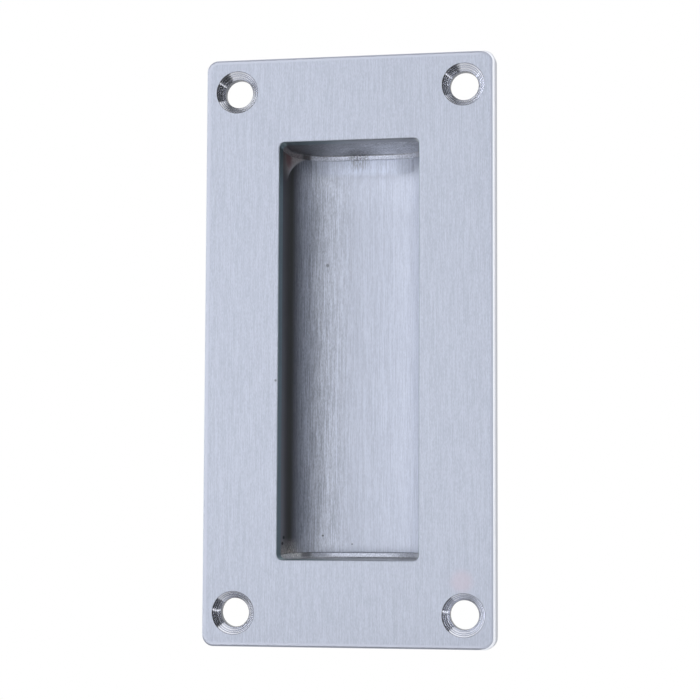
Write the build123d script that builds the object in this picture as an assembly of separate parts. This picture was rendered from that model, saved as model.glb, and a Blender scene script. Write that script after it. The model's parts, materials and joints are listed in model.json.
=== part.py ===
from build123d import *
import os

# Recessed pull handle, 102 x 51 mm, let into a sliding door or a cupboard front.
# A flat stainless plate with a long opening and four countersunk screw holes
# carries a finger recess welded to its back: a trough bent from sheet, closed at
# each end by a pressed cap that is butted to the trough.
#
# Frame: X across the plate, Z along its length, front face towards -Y.
# The origin is the centre of the screw pattern, on the plate's back face.

# ---- face plate ----
plate_width = 51.0
plate_height = 102.0
plate_thickness = 2.5
plate_corner_radius = 2.0
plate_edge_round = 0.35         # linished edge round the front face

# ---- opening for the fingers ----
side_margin = 13.2              # plate left at each side of the opening
end_margin = 14.9               # plate left above and below it
opening_corner_radius = 0.9
opening_edge_round = 0.25       # broken edge round the opening, front side

# ---- screw holes ----
screw_inset_x = 5.5             # hole centre to the plate's side
screw_inset_z = 5.75            # hole centre to the plate's end
screw_hole_diameter = 5.0
countersink_diameter = 7.5
countersink_angle = 90.0

# ---- finger recess: one gauge of sheet throughout ----
sheet_thickness = 1.0
recess_depth = 14.0             # front face of the plate to the recess floor
mouth_clearance = 0.2           # the recess walls stand this far outside the opening
trough_bend_radius = 7.0        # inside the two long bends
cap_rim_radius = 0.3            # inside the pressed rim of an end cap
cap_rim_land = 0.6              # straight part of that rim, up to the seam
seam_edge_break = 0.1           # broken inner edges where cap and trough butt

# ---- worked out from the sizes above ----
opening_width = plate_width - 2 * side_margin
opening_height = plate_height - 2 * end_margin
screw_spacing_x = plate_width - 2 * screw_inset_x
screw_spacing_z = plate_height - 2 * screw_inset_z
recess_floor_y = recess_depth - plate_thickness
recess_half_width = opening_width / 2 + mouth_clearance
recess_half_height = opening_height / 2 + mouth_clearance
seam_z = recess_half_height - cap_rim_radius - cap_rim_land

front_plane = Plane.XZ.offset(plate_thickness)


def pierced_plate():
    """Sheared plate with its opening pierced and both front edges rounded over."""
    outline = RectangleRounded(plate_width, plate_height, plate_corner_radius)
    opening = RectangleRounded(opening_width, opening_height, opening_corner_radius)
    plate = extrude(Plane.XZ * (outline - opening), plate_thickness)
    front_face = plate.faces().sort_by(Axis.Y)[0]
    plate = fillet(front_face.outer_wire().edges(), plate_edge_round)
    front_face = plate.faces().sort_by(Axis.Y)[0]
    return fillet(front_face.inner_wires()[0].edges(), opening_edge_round)


def screw_holes():
    """The four countersunk holes, one near each corner."""
    hole = CounterSinkHole(
        screw_hole_diameter / 2,
        countersink_diameter / 2,
        depth=2 * plate_thickness,
        counter_sink_angle=countersink_angle,
    )
    places = GridLocations(screw_spacing_x, screw_spacing_z, 2, 2)
    return [front_plane * place * hole for place in places]


def face_plate():
    return pierced_plate() - screw_holes()


def recess_section(growth, z=0.0):
    """U section of the recess at height z, grown outwards all round by growth."""
    width = 2 * (recess_half_width + growth)
    section = Rectangle(width, recess_floor_y + growth, align=(Align.CENTER, Align.MIN))
    floor_corners = section.vertices().group_by(Axis.Y)[-1]
    return Pos(0, 0, z) * fillet(floor_corners, trough_bend_radius + growth)


def recess_form(growth):
    """Solid form of the recess, grown outwards by growth, with its end rims rounded."""
    half_height = recess_half_height + growth
    form = extrude(recess_section(growth), half_height, both=True)
    end_edges = form.edges().group_by(Axis.Z)
    rims = [edge for edge in end_edges[0] + end_edges[-1] if edge.center().Y > 0]
    return fillet(rims, cap_rim_radius + growth)


def seam_groove(z):
    """Fine V along a seam, left by the broken edges of the two butted sheets."""
    low = recess_section(0, z - seam_edge_break)
    middle = recess_section(seam_edge_break, z)
    high = recess_section(0, z + seam_edge_break)
    return loft([low.face(), middle.face(), high.face()], ruled=True)


def welded_recess():
    """Trough and caps as one shell, with both seams broken on the inside."""
    shell = recess_form(sheet_thickness) - recess_form(0)
    return shell - seam_groove(seam_z) - seam_groove(-seam_z)


def recess_pieces():
    """The shell parted at its seams: upper cap, trough and lower cap."""
    upper_seam = Plane.XY.offset(seam_z)
    lower_seam = Plane.XY.offset(-seam_z)
    shell = welded_recess()
    upper_cap = split(shell, upper_seam, keep=Keep.TOP)
    below = split(shell, upper_seam, keep=Keep.BOTTOM)
    trough = split(below, lower_seam, keep=Keep.TOP)
    lower_cap = split(below, lower_seam, keep=Keep.BOTTOM)
    return upper_cap, trough, lower_cap


upper_cap, trough, lower_cap = recess_pieces()
pieces = {
    "face_plate": face_plate(),
    "recess_trough": trough,
    "upper_end_cap": upper_cap,
    "lower_end_cap": lower_cap,
}

os.makedirs("parts", exist_ok=True)
for name, piece in pieces.items():
    export_step(piece, f"parts/{name}.step")
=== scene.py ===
import json
import math

import bmesh
import bpy
from mathutils import Matrix, Vector


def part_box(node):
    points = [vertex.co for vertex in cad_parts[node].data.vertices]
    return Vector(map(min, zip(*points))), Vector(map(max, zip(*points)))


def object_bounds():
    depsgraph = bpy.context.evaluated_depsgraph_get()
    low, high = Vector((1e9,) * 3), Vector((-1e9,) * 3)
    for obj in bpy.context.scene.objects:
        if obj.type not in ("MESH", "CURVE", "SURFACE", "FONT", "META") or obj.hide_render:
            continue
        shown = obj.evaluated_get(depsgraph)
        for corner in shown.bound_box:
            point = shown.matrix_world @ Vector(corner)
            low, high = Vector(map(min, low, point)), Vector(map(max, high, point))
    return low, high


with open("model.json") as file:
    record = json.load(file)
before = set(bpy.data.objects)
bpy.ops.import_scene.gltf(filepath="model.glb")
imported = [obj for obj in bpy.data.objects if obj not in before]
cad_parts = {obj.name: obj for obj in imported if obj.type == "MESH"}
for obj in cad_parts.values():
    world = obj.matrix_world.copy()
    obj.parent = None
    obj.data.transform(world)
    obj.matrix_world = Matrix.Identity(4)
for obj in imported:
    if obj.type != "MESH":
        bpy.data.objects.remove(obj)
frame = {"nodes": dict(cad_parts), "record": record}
cad_low, cad_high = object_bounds()


# ---------------------------------------------------------------------------
# Face plate
# Stainless sheet, 2.5 mm: sheared, pierced for the fingers, countersunk for four
# screws, and brushed from end to end on a belt that only meets its front.
# ---------------------------------------------------------------------------

MM = 0.001
PLATE_LOW, PLATE_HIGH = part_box("face_plate")
CORNER_RADIUS = 2.0 * MM
OPENING_HALF_WIDTH = 12.3 * MM
OPENING_HALF_HEIGHT = 36.1 * MM
EDGE_MARGIN = 0.3 * MM              # how far past the opening its broken edge reaches
DRAGGED_AND_SHADED_X = (22.5 * MM, 24.5 * MM)  # towards this side the shears dragged the edge over, and its rolled edge is painted darker as shade
CLEAN_INSET = 0.06 * MM             # how far in from the outline the sheared side shows
DRAGGED_INSET = 0.45 * MM           # and on the dragged side

screw_mount = next(m for m in frame["record"]["mounts"] if m["name"] == "screw_holes")
HOLE_X = screw_mount["dims"]["spacing_x_mm"] * MM / 2
HOLE_Z = screw_mount["dims"]["spacing_y_mm"] * MM / 2
COUNTERSINK_RADIUS = 3.75 * MM
BORE_RADIUS = 2.5 * MM
RING_PITCH = 0.3 * MM               # drawn coarser than the cutter's feed, to show

# Real brushing scratches are a few hundredths of a millimetre wide. They are
# drawn 0.13 mm wide here, because finer ones would not show.
GRAIN_WIDTH = 0.13 * MM
GRAIN_LENGTHS = (0.5 * MM, 2.4 * MM, 10.0 * MM)
BELT_SHARES = (0.38, 0.32, 0.30)    # how much of the belt's grain has each length
GRAIN_SPAN = (0.36, 0.64)           # the noise values that fine lines run between
FLECK_SPAN = (0.35, 0.65)           # and those that flecks and rings run between
MILL_FLECK = 0.35 * MM              # from one fleck of the mill's mottling to the next

BRUSHED_ROUGHNESS = 0.42            # satin: it mirrors nothing sharply
TURNED_ROUGHNESS = 0.145            # the countersink's edge left it brighter
BELT_RELIEF = 0.003 * MM
TURNED_RELIEF = 0.008 * MM
LENGTHWISE = (0, 0, 1)

# Marks, each by its place and radius in mm, and its colour.
WARM_CAST = ((19.7, -2.5, -39.6), 2.6, "#C4B9C6")
NICK = ((-12.75, -2.5, -5.35), 0.3, "#868B95")


def linear(hex_colour):
    """An sRGB hex colour as the linear RGBA that the shaders take."""
    channels = [int(hex_colour[i : i + 2], 16) / 255 for i in (1, 3, 5)]
    bent = [c / 12.92 if c <= 0.04045 else ((c + 0.055) / 1.055) ** 2.4 for c in channels]
    return (*bent, 1.0)


def add_node(tree, kind, inputs=(), **settings):
    """Adds a node with its settings and links, and returns it.

    inputs is a dict by socket name, or a list for the sockets in use, in order. A
    node among them is linked by its first output in use.
    """
    node = tree.nodes.new("ShaderNode" + kind)
    for name, value in settings.items():
        setattr(node, name, value)
    in_use = [socket for socket in node.inputs if socket.enabled]
    named = inputs.items() if isinstance(inputs, dict) else enumerate(inputs)
    for key, value in named:
        socket = in_use[key] if isinstance(key, int) else node.inputs[key]
        if isinstance(value, bpy.types.Node):
            value = next(output for output in value.outputs if output.enabled)
        if isinstance(value, bpy.types.NodeSocket):
            tree.links.new(value, socket)
        else:
            socket.default_value = value
    return node


def new_material(name):
    """An empty node material, its tree, and the place on the object in metres."""
    material = bpy.data.materials.new(name)
    material.use_nodes = True
    tree = material.node_tree
    tree.nodes.clear()
    return material, tree, add_node(tree, "TexCoord").outputs["Object"]


def brush_streaks(tree, position, shares):
    """Streaks of three lengths, mixed by their shares, that run along Z, from 0 to 1."""
    total = 0.0
    for length, share in zip(GRAIN_LENGTHS, shares):
        scale = (1 / GRAIN_WIDTH, 1 / GRAIN_WIDTH, 1 / length)
        apart = (0, 0, length / GRAIN_WIDTH)    # so that no two layers agree anywhere
        stretched = add_node(
            tree, "VectorMath", [position, scale, apart], operation="MULTIPLY_ADD"
        )
        streaks = add_node(tree, "TexNoise", {"Vector": stretched, "Scale": 1.0, "Detail": 1.0})
        total = add_node(tree, "Math", [streaks, share, total], operation="MULTIPLY_ADD")
    return add_node(tree, "MapRange", [total, *GRAIN_SPAN], interpolation_type="SMOOTHSTEP")


def fine_lines(tree, position, sizes_mm):
    """Uneven lines, as wide or as long along X, Y and Z as sizes_mm says."""
    scale = [1 / (size_mm * MM) for size_mm in sizes_mm]
    place = add_node(tree, "VectorMath", [position, scale], operation="MULTIPLY")
    return add_node(tree, "TexNoise", {"Vector": place, "Scale": 1.0, "Detail": 2.0})


def stained(tree, steel, position, mark, strength=1.0, stretch=(1, 1, 1)):
    """Steel with a soft round mark, full over its inner third and gone past its radius."""
    centre_mm, radius_mm, shade = mark
    centre = [c * MM for c in centre_mm]
    away = add_node(tree, "VectorMath", [position, centre], operation="SUBTRACT")
    scaled = add_node(tree, "VectorMath", [away, stretch], operation="MULTIPLY")
    distance = add_node(tree, "VectorMath", [scaled], operation="LENGTH")
    limits = [distance, radius_mm * MM, 0.35 * radius_mm * MM, 0.0, strength]
    amount = add_node(tree, "MapRange", limits, interpolation_type="SMOOTHSTEP")
    return add_node(tree, "Mix", [amount, steel, linear(shade)], data_type="RGBA")


def distance_past(tree, mirrored, corner, axes):
    """How far a place lies past a corner, measured along the given axes."""
    offset = add_node(tree, "VectorMath", [mirrored, corner], operation="SUBTRACT")
    past = add_node(tree, "VectorMath", [offset, (0, 0, 0)], operation="MAXIMUM")
    measured = add_node(tree, "VectorMath", [past, axes], operation="MULTIPLY")
    return add_node(tree, "VectorMath", [measured], operation="LENGTH")


def mill_steel(tree, position, from_weld):
    """The mill's dull grey, brown and blue beside a weld and straw further off."""
    rolled = fine_lines(tree, position, (0.3, 0.3, 6.0))
    mottle = add_node(tree, "TexNoise", {"Vector": position, "Scale": 1 / MILL_FLECK, "Detail": 3.0})
    both = add_node(tree, "Mix", [0.5, rolled, mottle], data_type="FLOAT")
    uneven = add_node(tree, "MapRange", [both, *GRAIN_SPAN], interpolation_type="SMOOTHSTEP")
    mill = add_node(tree, "Mix", [uneven, linear("#979BA2"), linear("#B9BDC4")], data_type="RGBA")
    straw = add_node(tree, "MapRange", [from_weld, 3.0 * MM, 1.2 * MM, 0.0, 0.35])
    tinted = add_node(tree, "Mix", [straw, mill, linear("#A8946E")], data_type="RGBA")
    scale = add_node(tree, "MapRange", [from_weld, 1.4 * MM, 0.3 * MM, 0.0, 0.45])
    return add_node(tree, "Mix", [scale, tinted, linear("#6A6676")], data_type="RGBA")


def mill_back(tree, position, mirrored):
    """The plate's back, tinted round the foot of the recess."""
    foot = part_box("upper_end_cap")[1]
    return mill_steel(tree, position, distance_past(tree, mirrored, foot, (1, 0, 1)))


def outside_outline(tree, mirrored):
    """How far a place lies outside the plate's rounded outline."""
    core = (PLATE_HIGH.x - CORNER_RADIUS, 0, PLATE_HIGH.z - CORNER_RADIUS)
    reach = distance_past(tree, mirrored, core, (1, 0, 1))
    return add_node(tree, "Math", [reach, CORNER_RADIUS], operation="SUBTRACT")


def belt_finish(tree, position, streaks, from_outline, dragged_and_shaded):
    """The front: even satin streaks, a warm cast by one screw, and one nick."""
    front = add_node(tree, "Mix", [streaks, linear("#ACB2C1"), linear("#BEC4D3")], data_type="RGBA")
    front = stained(tree, front, position, WARM_CAST, strength=0.5)
    front = stained(tree, front, position, NICK)
    # a rolled band just inside the outline, painted darker on the right side as shade of the rounded
    # edge
    rolled_over = add_node(tree, "MapRange", [from_outline, -0.85 * MM, -0.6 * MM])
    edge = add_node(tree, "Mix", [dragged_and_shaded, linear("#BFC4D3"), linear("#A4A9B8")], data_type="RGBA")
    return add_node(tree, "Mix", [rolled_over, front, edge], data_type="RGBA")


def sheared_side(tree, from_outline, dragged_and_shaded):
    """1 on the plate's outer sides. Where the shears dragged the edge they start further in."""
    inset = add_node(tree, "Mix", [dragged_and_shaded, CLEAN_INSET, DRAGGED_INSET], data_type="FLOAT")
    from_shear = add_node(tree, "Math", [from_outline, inset], operation="ADD")
    return add_node(tree, "MapRange", [from_shear, 0.0, 0.03 * MM])


def pierced_side(tree, mirrored, depth):
    """1 on the opening's own face, and 1 at its ends rather than its sides."""
    opening = (OPENING_HALF_WIDTH + EDGE_MARGIN, 0, OPENING_HALF_HEIGHT + EDGE_MARGIN)
    beyond = add_node(tree, "VectorMath", [mirrored, opening], operation="SUBTRACT")
    beyond_x, _, beyond_z = add_node(tree, "SeparateXYZ", [beyond]).outputs
    outermost = add_node(tree, "Math", [beyond_x, beyond_z], operation="MAXIMUM")
    at_opening = add_node(tree, "Math", [outermost, 0.0], operation="LESS_THAN")
    below_front = add_node(tree, "MapRange", [depth, 0.03 * MM, 0.12 * MM])
    amount = add_node(tree, "Math", [below_front, at_opening], operation="MULTIPLY")
    at_ends = add_node(tree, "Math", [beyond_z, beyond_x], operation="GREATER_THAN")
    return amount, at_ends


def pierced_steel(tree, x, torn, at_ends):
    """The opening's own face: grey-green from the press, with its ends painted paler towards one
    corner as light.
    """
    dull = add_node(tree, "Mix", [torn, linear("#869BA2"), linear("#A8B9BE")], data_type="RGBA")
    # painted light: the ends of the opening's face grow paler towards +X
    lit_ramp = add_node(tree, "MapRange", [x, -9.0 * MM, 3.0 * MM], interpolation_type="SMOOTHSTEP")
    paler = add_node(tree, "Math", [lit_ramp, at_ends], operation="MULTIPLY")
    return add_node(tree, "Mix", [paler, dull, linear("#CDD0D6")], data_type="RGBA")


def round_the_screw(tree, position, mirrored):
    """The way round the nearest screw hole, as long as the distance from its axis."""
    offset = add_node(tree, "VectorMath", [mirrored, (HOLE_X, 0, HOLE_Z)], operation="SUBTRACT")
    signs = add_node(tree, "VectorMath", [position], operation="SIGN")
    signed = add_node(tree, "VectorMath", [offset, signs], operation="MULTIPLY")
    return add_node(tree, "VectorMath", [signed, (0, 1, 0)], operation="CROSS_PRODUCT")


def in_countersink(tree, radius, depth, not_back):
    """1 inside a countersink's rim, below the front face and short of the back."""
    rim_limits = [COUNTERSINK_RADIUS + 0.02 * MM, COUNTERSINK_RADIUS - 0.02 * MM]
    inside_rim = add_node(tree, "MapRange", [radius, *rim_limits])
    sunk = add_node(tree, "MapRange", [depth, 0.005 * MM, 0.03 * MM])
    in_cone = add_node(tree, "Math", [inside_rim, sunk], operation="MULTIPLY")
    return add_node(tree, "Math", [in_cone, not_back], operation="MULTIPLY")


def turned_rings(tree, radius):
    """Rings that the countersink's edge turned, from 0 to 1."""
    across = add_node(tree, "Math", [radius, RING_PITCH], operation="DIVIDE")
    inputs = {"W": across, "Scale": 1.0, "Detail": 1.0}
    turns = add_node(tree, "TexNoise", inputs, noise_dimensions="1D")
    return add_node(tree, "MapRange", [turns, *FLECK_SPAN], interpolation_type="SMOOTHSTEP")


def turned_cone(tree, radius, rings):
    """A countersink: bright rings, a burr at its rim, and the drill's dull bore."""
    cone = add_node(tree, "Mix", [rings, linear("#B4B9CC"), linear("#F8FAFF")], data_type="RGBA")
    burr_limits = [COUNTERSINK_RADIUS - 0.12 * MM, COUNTERSINK_RADIUS - 0.03 * MM]
    burr = add_node(tree, "MapRange", [radius, *burr_limits])
    cone = add_node(tree, "Mix", [burr, cone, linear("#6E727E")], data_type="RGBA")
    bore = add_node(tree, "MapRange", [radius, BORE_RADIUS + 0.06 * MM, BORE_RADIUS])
    return add_node(tree, "Mix", [bore, cone, linear("#565A63")], data_type="RGBA")


def grained_steel(tree, colour, metallic, roughness, anisotropic, direction, heights, relief):
    """Steel whose fine grain runs in a direction and spreads its highlights across."""
    bump = add_node(tree, "Bump", {"Height": heights, "Strength": 1.0, "Distance": relief})
    shader = add_node(
        tree,
        "BsdfPrincipled",
        {
            "Base Color": colour,
            "Metallic": metallic,
            "Roughness": roughness,
            "Anisotropic": anisotropic,
            "Anisotropic Rotation": 0.25,
            "Tangent": direction,
            "Normal": bump,
        },
    )
    add_node(tree, "OutputMaterial", {"Surface": shader})


def satin_plate():
    """Satin stainless: a pale grey whose grain spreads every highlight sideways."""
    material, tree, position = new_material("satin_stainless_plate")
    mirrored = add_node(tree, "VectorMath", [position], operation="ABSOLUTE")
    x, y, _ = add_node(tree, "SeparateXYZ", [position]).outputs
    depth = add_node(tree, "Math", [y, PLATE_LOW.y], operation="SUBTRACT")
    dragged_and_shaded = add_node(tree, "MapRange", [x, *DRAGGED_AND_SHADED_X])
    from_outline = outside_outline(tree, mirrored)
    streaks = brush_streaks(tree, position, BELT_SHARES)
    colour = belt_finish(tree, position, streaks, from_outline, dragged_and_shaded)

    # the shears and the press tore fine lines through the plate's thickness
    torn = fine_lines(tree, position, (0.1, 1.5, 0.1))
    outer_side = sheared_side(tree, from_outline, dragged_and_shaded)
    sheared = add_node(tree, "Mix", [torn, linear("#E2E7F4"), linear("#FAFCFF")], data_type="RGBA")
    colour = add_node(tree, "Mix", [outer_side, colour, sheared], data_type="RGBA")
    inner_side, at_ends = pierced_side(tree, mirrored, depth)
    pierced = pierced_steel(tree, x, torn, at_ends)
    colour = add_node(tree, "Mix", [inner_side, colour, pierced], data_type="RGBA")
    on_back = add_node(tree, "MapRange", [y, PLATE_HIGH.y - 0.05 * MM, PLATE_HIGH.y - 0.01 * MM])
    mill = mill_back(tree, position, mirrored)
    colour = add_node(tree, "Mix", [on_back, colour, mill], data_type="RGBA")

    not_back = add_node(tree, "MapRange", [on_back, 1.0, 0.0])
    round_hole = round_the_screw(tree, position, mirrored)
    radius = add_node(tree, "VectorMath", [round_hole], operation="LENGTH")
    in_cone = in_countersink(tree, radius, depth, not_back)
    rings = turned_rings(tree, radius)
    cone = turned_cone(tree, radius, rings)
    colour = add_node(tree, "Mix", [in_cone, colour, cone], data_type="RGBA")

    # the sheared sides are so scratched that they scatter light as paint does
    scattering = add_node(tree, "Math", [outer_side, not_back], operation="MULTIPLY")
    metallic = add_node(tree, "MapRange", [scattering, 0.0, 1.0, 1.0, 0.0])
    roughness = add_node(
        tree, "Mix", [in_cone, BRUSHED_ROUGHNESS, TURNED_ROUGHNESS], data_type="FLOAT"
    )
    direction = add_node(tree, "Mix", [in_cone, LENGTHWISE, round_hole], data_type="VECTOR")
    heights = add_node(tree, "Mix", [in_cone, streaks, rings], data_type="FLOAT")
    relief = add_node(tree, "Mix", [in_cone, BELT_RELIEF, TURNED_RELIEF], data_type="FLOAT")
    grained_steel(tree, colour, metallic, roughness, 1.0, direction, heights, relief)
    return material


def dress(node, material):
    """Gives a CAD node its material."""
    materials = frame["nodes"][node].data.materials
    materials.clear()
    materials.append(material)


dress("face_plate", satin_plate())


# ---------------------------------------------------------------------------
# Recess trough
# 1 mm stainless sheet, bent along two long 7 mm bends and brushed along its
# length, then welded behind the opening. The outside keeps the mill's grey.
# ---------------------------------------------------------------------------

BEND_AXIS = (5.5 * MM, 4.5 * MM, 0)     # the two long bends run at +X and -X of this
BEND_RADIUS = 7.0 * MM                  # inside
SHEET = 1.0 * MM
SEAM_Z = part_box("recess_trough")[1].z
SEAM_SHADE_DEPTH = 0.12 * MM            # how far from a seam its dark line reaches
DRESSED_REACH = 3.2 * MM                # how far below the upper seam its dressing, painted brighter as light, reaches
DRESSED_MIDDLE = (4.0 * MM, 8.0 * MM)   # the dressed steel is bright to here, dull past here
BRIGHT_METAL = 0.6                      # how metallic it looks where it is bright
SCRATCHED_METAL = 0.1                   # and where its wheel left it dull
PATCH_LOWEST_Y = 9.4 * MM               # the corner patch reaches this deep into the corners
WELD_FLECK = 0.3 * MM                   # spatter, and what the wheel left of it
LONG_SHARES = (0.3, 0.32, 0.38)         # the sheet's own grain runs longer than the belt's
INSIDE_RELIEF = 0.012 * MM
MILL_RELIEF = 0.001 * MM
CROSSWISE = (1, 0, 0)

# Marks, each by its place and radius in mm, and its colour.
FLOOR_SPOTS = (
    ((-6.9, 11.4, 16.3), 0.45, "#8B8F9A"),
    ((-7.5, 11.2, -32.4), 0.26, "#6C707B"),
    ((-2.2, 11.5, -33.9), 0.22, "#7A7E89"),
)
FLOOR_SOOT = ((-1.2, 11.5, 35.4), 2.6, "#5C5D63")
WELD_DROPS = (
    ((-12.5, 2.8, -32.5), 0.42, "#1C1C1D"),
    ((-12.5, 1.9, -33.5), 0.42, "#1C1C1D"),
)
HEAT_RED = ((-12.3, 4.4, 34.7), 2.4, "#875B5D")


def is_outside(tree, mirrored):
    """1 on the outer face of the recess, 0 on its inside."""
    radius = distance_past(tree, mirrored, BEND_AXIS, (1, 1, 0))
    beyond_bend = add_node(tree, "Math", [radius, BEND_RADIUS + SHEET / 2], operation="GREATER_THAN")
    height = add_node(tree, "SeparateXYZ", [mirrored]).outputs["Z"]
    end_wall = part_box("upper_end_cap")[1].z - SHEET / 2
    beyond_end = add_node(tree, "Math", [height, end_wall], operation="GREATER_THAN")
    return add_node(tree, "Math", [beyond_bend, beyond_end], operation="MAXIMUM")


def welded_outside(tree, position, mirrored):
    """The recess from behind, tinted along its seams and its foot."""
    _, from_foot, height = add_node(tree, "SeparateXYZ", [mirrored]).outputs
    past_seam = add_node(tree, "Math", [height, SEAM_Z], operation="SUBTRACT")
    from_seam = add_node(tree, "Math", [past_seam], operation="ABSOLUTE")
    from_weld = add_node(tree, "Math", [from_seam, from_foot], operation="MINIMUM")
    return mill_steel(tree, position, from_weld)


def brushed_floor(tree, position, streaks, dressed_and_lit):
    """The floor: brushed, deeply where it starts to bend, and dressed at the top, with painted light
    towards one bend, the upper end and the dressed steel.
    """
    x, _, z = add_node(tree, "SeparateXYZ", [position]).outputs
    even = add_node(tree, "Mix", [streaks, linear("#B2B8C8"), linear("#C5CBDB")], data_type="RGBA")
    deep = add_node(tree, "Mix", [streaks, linear("#A1A7B6"), linear("#D7DDEC")], data_type="RGBA")
    to_bend = add_node(tree, "MapRange", [x, -2.0 * MM, -8.0 * MM])
    floor = add_node(tree, "Mix", [to_bend, even, deep], data_type="RGBA")
    # painted light: the floor is painted brighter towards one side's bend and the upper end, against
    # the shade the bend and the end wall throw there
    up_side = add_node(tree, "MapRange", [x, 6.0 * MM, 9.0 * MM, 1.0, 1.15])
    up_end = add_node(tree, "MapRange", [z, 25.0 * MM, 34.0 * MM, 1.0, 1.12])
    painted_floor_light = add_node(tree, "Math", [up_end, up_side], operation="MULTIPLY")
    floor = add_node(tree, "VectorMath", [floor, painted_floor_light], operation="SCALE")
    # painted light: the dressed steel by the upper seam is painted brighter, against the end wall's
    # shade
    dressed_lit_floor = add_node(tree, "Mix", [streaks, linear("#C3CBDF"), linear("#DEE6FA")], data_type="RGBA")
    floor = add_node(tree, "Mix", [dressed_and_lit, floor, dressed_lit_floor], data_type="RGBA")
    for spot in FLOOR_SPOTS:
        floor = stained(tree, floor, position, spot)
    in_streaks = add_node(tree, "MapRange", [streaks, 0.2, 0.8, 0.4, 0.0])
    return stained(tree, floor, position, FLOOR_SOOT, in_streaks)


def shaded_flank(tree, position):
    """The side walls, painted dark as shade where the bend starts and paler as light at the mouth
    and lower down, and their weld spatter at the bottom.
    """
    _, y, z = add_node(tree, "SeparateXYZ", [position]).outputs
    # painted light and shade: paler near the mouth and lower down, darkest deeper in towards the
    # bend
    lower = add_node(tree, "MapRange", [z, 30.0 * MM, -33.0 * MM])
    lit_mouth = add_node(tree, "Mix", [lower, linear("#76757A"), linear("#A2A1A6")], data_type="RGBA")
    deep = add_node(tree, "MapRange", [y, 1.0 * MM, 4.6 * MM], interpolation_type="SMOOTHSTEP")
    flank = add_node(tree, "Mix", [deep, lit_mouth, linear("#62615F")], data_type="RGBA")
    near_seam = add_node(tree, "MapRange", [z, -32.6 * MM, -35.4 * MM])
    on_flank = add_node(tree, "MapRange", [y, 10.4 * MM, 9.0 * MM])
    spattered = add_node(tree, "Math", [near_seam, on_flank], operation="MULTIPLY")
    mottle = add_node(tree, "TexNoise", {"Vector": position, "Scale": 1 / WELD_FLECK, "Detail": 3.0})
    flecks = add_node(tree, "MapRange", [mottle, *FLECK_SPAN])
    spatter = add_node(tree, "Mix", [flecks, linear("#85827F"), linear("#E4DFDC")], data_type="RGBA")
    flank = add_node(tree, "Mix", [spattered, flank, spatter], data_type="RGBA")
    for drop in WELD_DROPS:
        flank = stained(tree, flank, position, drop, stretch=(1, 0.4, 1))
    return flank, spattered


def corner_patch(tree, position):
    """A paler mottled patch in the upper corners, inside a curve that widens up the bend."""
    _, y, z = add_node(tree, "SeparateXYZ", [position]).outputs
    # its width is 0.6 of the height above its lowest point, and more further up
    up = add_node(tree, "Math", [PATCH_LOWEST_Y, y], operation="SUBTRACT")
    widening = add_node(tree, "Math", [up, 40.0, 0.6], operation="MULTIPLY_ADD")
    width = add_node(tree, "Math", [up, widening], operation="MULTIPLY")
    below_seam = add_node(tree, "Math", [SEAM_Z, z], operation="SUBTRACT")
    within = add_node(tree, "Math", [width, below_seam], operation="SUBTRACT")
    faded = add_node(tree, "MapRange", [below_seam, 5.2 * MM, 2.6 * MM])
    touched = add_node(tree, "MapRange", [within, -0.1 * MM, 0.2 * MM])
    amount = add_node(tree, "Math", [touched, faded], operation="MULTIPLY")

    mottle = add_node(tree, "TexNoise", {"Vector": position, "Scale": 1 / WELD_FLECK, "Detail": 3.0})
    patch_colour = add_node(tree, "Mix", [mottle, linear("#928B8E"), linear("#E9E3E6")], data_type="RGBA")
    # painted light: the patch is paler along its boundary
    painted_rim_light = add_node(tree, "MapRange", [within, 0.9 * MM, 0.1 * MM, 0.0, 0.6])
    patch_colour = add_node(tree, "Mix", [painted_rim_light, patch_colour, linear("#D6DADF")], data_type="RGBA")
    # darker towards the mouth
    inner = add_node(tree, "MapRange", [y, 5.0 * MM, 1.5 * MM, 0.0, 0.75])
    patch_colour = add_node(tree, "Mix", [inner, patch_colour, linear("#504846")], data_type="RGBA")
    patch_colour = stained(tree, patch_colour, position, HEAT_RED, strength=0.75)
    return amount, patch_colour


def seam_line(tree, z, height):
    """A dark line along each seam, fainter at the upper one, which was dressed."""
    from_seam = add_node(tree, "Math", [SEAM_Z, height], operation="SUBTRACT")
    upper = add_node(tree, "Math", [z, 0.0], operation="GREATER_THAN")
    open_seam = add_node(tree, "Mix", [upper, 0.9, 0.3], data_type="FLOAT")
    return add_node(tree, "MapRange", [from_seam, SEAM_SHADE_DEPTH, 0.0, 0.0, open_seam])


def dressed_metal(tree, mirrored):
    """How metallic the dressed steel looks: the wheel scratched it more by the bends."""
    from_middle = add_node(tree, "SeparateXYZ", [mirrored]).outputs["X"]
    limits = [from_middle, *DRESSED_MIDDLE, BRIGHT_METAL, SCRATCHED_METAL]
    return add_node(tree, "MapRange", limits)


def grain_direction(tree, dressed_and_lit, outside):
    """Lengthwise, and crosswise where the wheel dressed the inside by the upper seam."""
    inner = add_node(tree, "Math", [dressed_and_lit, outside], operation="SUBTRACT")
    crossed = add_node(tree, "Math", [inner, 0.5], operation="GREATER_THAN")
    return add_node(tree, "Mix", [crossed, LENGTHWISE, CROSSWISE], data_type="VECTOR")


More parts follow.
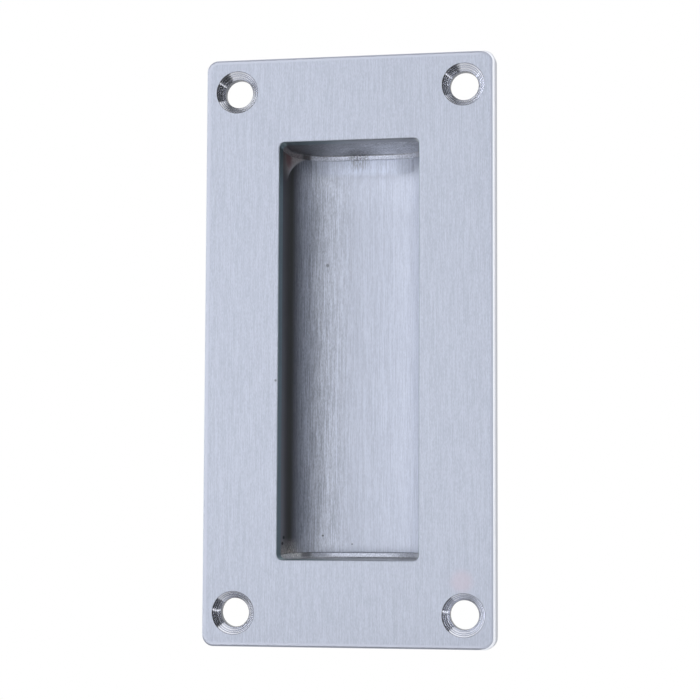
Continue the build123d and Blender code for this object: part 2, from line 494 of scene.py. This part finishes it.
def brushed_trough():
    """Brushed stainless: bright on the floor, and painted dark as shade on the side walls."""
    material, tree, position = new_material("brushed_stainless_trough")
    mirrored = add_node(tree, "VectorMath", [position], operation="ABSOLUTE")
    _, y, z = add_node(tree, "SeparateXYZ", [position]).outputs
    height = add_node(tree, "SeparateXYZ", [mirrored]).outputs["Z"]
    # the dressed steel by the upper seam, which is also painted brighter as light
    by_seam = add_node(tree, "MapRange", [z, SEAM_Z - DRESSED_REACH, SEAM_Z - 0.7 * DRESSED_REACH])
    on_floor = add_node(tree, "MapRange", [y, 9.9 * MM, 11.0 * MM])
    dressed_and_lit = add_node(tree, "Math", [by_seam, on_floor], operation="MULTIPLY")

    streaks = brush_streaks(tree, position, LONG_SHARES)
    floor = brushed_floor(tree, position, streaks, dressed_and_lit)
    flank, spattered = shaded_flank(tree, position)
    up_bend = add_node(tree, "MapRange", [y, 10.0 * MM, 6.0 * MM], interpolation_type="SMOOTHSTEP")
    inside = add_node(tree, "Mix", [up_bend, floor, flank], data_type="RGBA")
    patched, patch_colour = corner_patch(tree, position)
    inside = add_node(tree, "Mix", [patched, inside, patch_colour], data_type="RGBA")
    seam = seam_line(tree, z, height)
    inside = add_node(tree, "Mix", [seam, inside, linear("#5A5C63")], data_type="RGBA")

    # the corner patch and the spatter, and the wheel's scratches that run every way on the dressed
    # steel, scatter light as paint does
    corner = add_node(tree, "Math", [patched, spattered], operation="MAXIMUM")
    duller = add_node(tree, "MapRange", [corner, 0.0, 1.0, 1.0, 0.5])
    crossing = dressed_metal(tree, mirrored)
    metallic = add_node(tree, "Mix", [dressed_and_lit, duller, crossing], data_type="FLOAT")

    outside = is_outside(tree, mirrored)
    behind = welded_outside(tree, position, mirrored)
    colour = add_node(tree, "Mix", [outside, inside, behind], data_type="RGBA")
    metallic = add_node(tree, "Mix", [outside, metallic, 1.0], data_type="FLOAT")
    direction = grain_direction(tree, dressed_and_lit, outside)
    relief = add_node(tree, "Mix", [outside, INSIDE_RELIEF, MILL_RELIEF], data_type="FLOAT")
    grained_steel(tree, colour, metallic, BRUSHED_ROUGHNESS, 1.0, direction, streaks, relief)
    return material


dress("recess_trough", brushed_trough())


# ---------------------------------------------------------------------------
# End caps
# Pressed from the same 1 mm sheet, butted to the trough's ends and welded. The
# joint was dressed flush, but nothing brushes the end walls, so they stay dull.
# ---------------------------------------------------------------------------

RIM_START = 36.25 * MM          # the end wall turns into the rim here
RIM_FLAT = 36.05 * MM
LOWER_DRESSING = 0.72           # the lower rim was dressed less, so it is darker
CAP_FLECK = 0.28 * MM
CLOUD_SIZE = 3.0 * MM

# Marks, each by its place and radius in mm, and its colour.
WALL_SOOT = ((-0.9, 9.2, 36.3), 4.4, "#55555A")
RIM_SOOT = ((-1.4, 11.3, 35.8), 2.6, "#55555A")
UPPER_BURN = ((-10.4, 9.4, 35.8), 1.4, "#3E3A3C")
# painted shade: the gap where the lower bead meets the trough
LOWER_GAP_SHADE = ((-10.2, 9.7, -35.8), 1.5, "#4A4A50")


def dull_wall(tree, position, upper, mottle, patchy):
    """The end wall: cloudy, sooty where the torch rested, and painted paler to one side as light."""
    clouds = add_node(tree, "TexNoise", {"Vector": position, "Scale": 1 / CLOUD_SIZE, "Detail": 2.0})
    both = add_node(tree, "Mix", [0.3, mottle, clouds], data_type="FLOAT")
    dulled = add_node(tree, "MapRange", [both, *FLECK_SPAN], interpolation_type="SMOOTHSTEP")
    wall = add_node(tree, "Mix", [dulled, linear("#9C9DA0"), linear("#CBCCD0")], data_type="RGBA")
    x = add_node(tree, "SeparateXYZ", [position]).outputs["X"]
    # painted light and shade: the upper wall darker at its left and paler to its right, the lower
    # wall paler at its left
    upper_gain = add_node(tree, "MapRange", [x, -12.0 * MM, 8.0 * MM, 0.6, 1.5])
    lower_gain = add_node(tree, "MapRange", [x, -12.0 * MM, 0.0, 1.5, 0.8])
    painted_wall_light = add_node(tree, "Mix", [upper, lower_gain, upper_gain], data_type="FLOAT")
    wall = add_node(tree, "VectorMath", [wall, painted_wall_light], operation="SCALE")
    return stained(tree, wall, position, WALL_SOOT, patchy, stretch=(1.3, 1, 1))


def dressed_rim(tree, position, upper, mottle, patchy, by_floor):
    """The rim: dressed and painted bright by the floor as light, and left as welded up the bends,
    its bead painted paler below as light and darker above as shade.
    """
    flecks = add_node(tree, "MapRange", [mottle, *FLECK_SPAN])
    # painted light: the dressed rim is painted bright, against the end wall's shade
    bright = add_node(tree, "Mix", [flecks, linear("#BCC2D3"), linear("#E2E8F9")], data_type="RGBA")
    bright = stained(tree, bright, position, RIM_SOOT, patchy)
    dressing = add_node(tree, "Mix", [upper, LOWER_DRESSING, 1.0], data_type="FLOAT")
    bright = add_node(tree, "VectorMath", [bright, dressing], operation="SCALE")
    # painted light and shade: the bead up the bends is near-white at the lower end and darker at the
    # upper end
    lit_and_shaded_bead = add_node(tree, "Mix", [upper, linear("#FFFFFF"), linear("#A29DA1")], data_type="RGBA")
    burnt_lit_and_shaded = add_node(tree, "Mix", [upper, linear("#B9BCC1"), linear("#7A7578")], data_type="RGBA")
    lit_and_shaded_bead = add_node(tree, "Mix", [flecks, lit_and_shaded_bead, burnt_lit_and_shaded], data_type="RGBA")
    rim = add_node(tree, "Mix", [by_floor, lit_and_shaded_bead, bright], data_type="RGBA")
    rim = stained(tree, rim, position, UPPER_BURN, strength=0.85)
    # painted shade in the gap where the lower bead meets the trough
    return stained(tree, rim, position, LOWER_GAP_SHADE, strength=0.7)


def pressed_cap():
    """Pressed stainless: mottled and dull, with a dressed rim by the floor that is painted bright as
    light.
    """
    material, tree, position = new_material("pressed_stainless_cap")
    mirrored = add_node(tree, "VectorMath", [position], operation="ABSOLUTE")
    _, y, z = add_node(tree, "SeparateXYZ", [position]).outputs
    height = add_node(tree, "SeparateXYZ", [mirrored]).outputs["Z"]
    upper = add_node(tree, "Math", [z, 0.0], operation="GREATER_THAN")
    by_floor = add_node(tree, "MapRange", [y, 8.4 * MM, 10.6 * MM])
    on_rim = add_node(tree, "MapRange", [height, RIM_START, RIM_FLAT])
    dressed_and_lit = add_node(tree, "Math", [on_rim, by_floor], operation="MULTIPLY")

    mottle = add_node(tree, "TexNoise", {"Vector": position, "Scale": 1 / CAP_FLECK, "Detail": 3.0})
    patchy = add_node(tree, "MapRange", [mottle, *FLECK_SPAN, 0.7, 0.1])
    wall = dull_wall(tree, position, upper, mottle, patchy)
    rim = dressed_rim(tree, position, upper, mottle, patchy, by_floor)
    inside = add_node(tree, "Mix", [on_rim, wall, rim], data_type="RGBA")

    # scratched or rough all over, the rim scatters light as paint does
    crossing = dressed_metal(tree, mirrored)
    rim_metal = add_node(tree, "Mix", [dressed_and_lit, SCRATCHED_METAL, crossing], data_type="FLOAT")
    metallic = add_node(tree, "Mix", [on_rim, 1.0, rim_metal], data_type="FLOAT")

    outside = is_outside(tree, mirrored)
    behind = welded_outside(tree, position, mirrored)
    colour = add_node(tree, "Mix", [outside, inside, behind], data_type="RGBA")
    metallic = add_node(tree, "Mix", [outside, metallic, 1.0], data_type="FLOAT")
    direction = grain_direction(tree, dressed_and_lit, outside)
    grained_steel(
        tree, colour, metallic, BRUSHED_ROUGHNESS, 0.7, direction, mottle, INSIDE_RELIEF
    )
    return material


cap_steel = pressed_cap()
for cap in ("upper_end_cap", "lower_end_cap"):
    dress(cap, cap_steel)


# ---------------------------------------------------------------------------
# Studio
# A white surround that is dark to the right, a tall softbox beside the camera
# with a reflector on its left, and a pale floor well below, because the pull is
# held by its screw holes.
# ---------------------------------------------------------------------------

FLOOR_DROP = 0.2
FLOOR_SIZE = 4.0
UNLIT_START = math.radians(14)
UNLIT_END = math.radians(118)
UNLIT_LEVEL = -0.245            # the height of the dark floor cloth and the curtain's foot
LAMP_DISTANCE = 1.2
LAMP_HEIGHT = 1.6
LAMP_RISE = -0.13               # for each metre of distance: the lamps stand a little low


def sees_background(tree):
    """1 for rays that should meet the plain white background, else 0."""
    path = add_node(tree, "LightPath")
    rays = [path.outputs["Is " + kind + " Ray"] for kind in ("Camera", "Glossy", "Transmission")]
    camera_or_glossy = add_node(tree, "Math", rays[:2], operation="MAXIMUM")
    return add_node(tree, "Math", [camera_or_glossy, rays[2]], operation="MAXIMUM")


def white_world():
    """White where it is seen, and dimmer as a light."""
    world = bpy.data.worlds.new("white_studio")
    world.use_nodes = True
    tree = world.node_tree
    tree.nodes.clear()
    strength = add_node(tree, "MapRange", [sees_background(tree), 0.0, 1.0, 0.7, 1.0])
    light = add_node(tree, "Background", [(1, 1, 1, 1), strength])
    add_node(tree, "OutputWorld", {"Surface": light})
    bpy.context.scene.world = world


def stage_piece(name, shape):
    """Makes a studio piece of a finished bmesh, and frees the bmesh."""
    mesh = bpy.data.meshes.new(name)
    shape.to_mesh(mesh)
    shape.free()
    obj = bpy.data.objects.new(name, mesh)
    bpy.context.scene.collection.objects.link(obj)
    return obj


def flat_card(name, width, height, place, facing):
    """A card in the studio, centred at place and turned to face a direction."""
    card = bmesh.new()
    bmesh.ops.create_grid(card, x_segments=1, y_segments=1, size=0.5)
    bmesh.ops.scale(card, vec=(width, height, 1), verts=card.verts)
    turn = Vector(facing).to_track_quat("Z", "Y").to_matrix().to_4x4()
    bmesh.ops.transform(card, matrix=Matrix.Translation(place) @ turn, verts=card.verts)
    return stage_piece(name, card)


def pale_floor():
    """Keeps the soft shadow under the pull and fades to white further out."""
    place = (0, 0, cad_low.z - FLOOR_DROP)
    floor = flat_card("floor", FLOOR_SIZE, FLOOR_SIZE, place, (0, 0, 1))
    material, tree, position = new_material("pale_floor_paint")
    flat = add_node(tree, "VectorMath", [position, (1, 1, 0)], operation="MULTIPLY")
    reach = add_node(tree, "VectorMath", [flat], operation="LENGTH")
    far = add_node(tree, "MapRange", [reach, 0.15, 0.6], interpolation_type="SMOOTHSTEP")
    far_seen = add_node(tree, "Math", [far, sees_background(tree)], operation="MULTIPLY")
    paint = add_node(tree, "BsdfDiffuse", {"Color": linear("#F4F4F4")})
    white = add_node(tree, "Emission", {"Strength": 1.0})
    both = add_node(tree, "MixShader", [far_seen, paint, white])
    add_node(tree, "OutputMaterial", {"Surface": both})
    floor.data.materials.append(material)


def unlit_side(name, near, far):
    """A dark surface swept round the right of the studio, from near to far.

    near and far are (distance from the pull, height) of its two edges. Only the
    steel's reflections meet it.
    """
    swept = bmesh.new()
    ends = [swept.verts.new((0.0, -distance, height)) for distance, height in (near, far)]
    edge = swept.edges.new(ends)
    bmesh.ops.rotate(swept, verts=ends, matrix=Matrix.Rotation(UNLIT_START, 3, "Z"))
    bmesh.ops.spin(
        swept, geom=[*ends, edge], axis=(0, 0, 1), angle=UNLIT_END - UNLIT_START, steps=24
    )
    obj = stage_piece(name, swept)
    for ray_kind in ("camera", "diffuse", "shadow"):
        setattr(obj, "visible_" + ray_kind, False)
    return obj


def unlit_studio():
    """The dark side: a curtain, and a floor cloth that stops short of it."""
    material, tree, _ = new_material("black_cloth")
    cloth = add_node(tree, "Emission", {"Strength": 0.05})
    add_node(tree, "OutputMaterial", {"Surface": cloth})
    for name, near, far in (
        ("unlit_curtain", (0.8, UNLIT_LEVEL), (0.8, 0.85)),
        ("unlit_cloth", (0.12, UNLIT_LEVEL), (0.62, UNLIT_LEVEL)),
    ):
        unlit_side(name, near, far).data.materials.append(material)


def tall_lamp(name, degrees, width, strength):
    """A tall even light that faces the pull from degrees to the right of its front."""
    angle = math.radians(degrees)
    place = Vector((math.sin(angle), -math.cos(angle), LAMP_RISE)) * LAMP_DISTANCE
    lamp = flat_card(name, width, LAMP_HEIGHT, place, -place)
    material, tree, _ = new_material(name + "_cloth")
    glow = add_node(tree, "Emission", {"Strength": strength})
    add_node(tree, "OutputMaterial", {"Surface": glow})
    lamp.data.materials.append(material)
    lamp.visible_camera = False


def camera():
    """Stands a little to the right of the pull and below its middle, and looks up at it."""
    place = Vector((61.3, -279.6, -23.5)) * MM
    yaw = 0.153
    pitch = 0.065
    level = math.cos(pitch)
    look = Vector((-math.sin(yaw) * level, math.cos(yaw) * level, math.sin(pitch)))
    cam = bpy.data.cameras.new("camera")
    cam.sensor_width = 36
    cam.lens = 85.2
    cam.shift_x = -0.15
    cam.shift_y = 0.04
    cam.clip_start = 0.01
    obj = bpy.data.objects.new("camera", cam)
    turn = look.to_track_quat("-Z", "Y").to_matrix().to_4x4()
    obj.matrix_world = Matrix.Translation(place) @ turn
    bpy.context.scene.collection.objects.link(obj)
    bpy.context.scene.camera = obj


white_world()
pale_floor()
unlit_studio()
tall_lamp("softbox", -9, 0.38, 4.8)
tall_lamp("reflector", -32, 0.6, 1.5)
camera()
bpy.context.scene.view_settings.view_transform = "Standard"
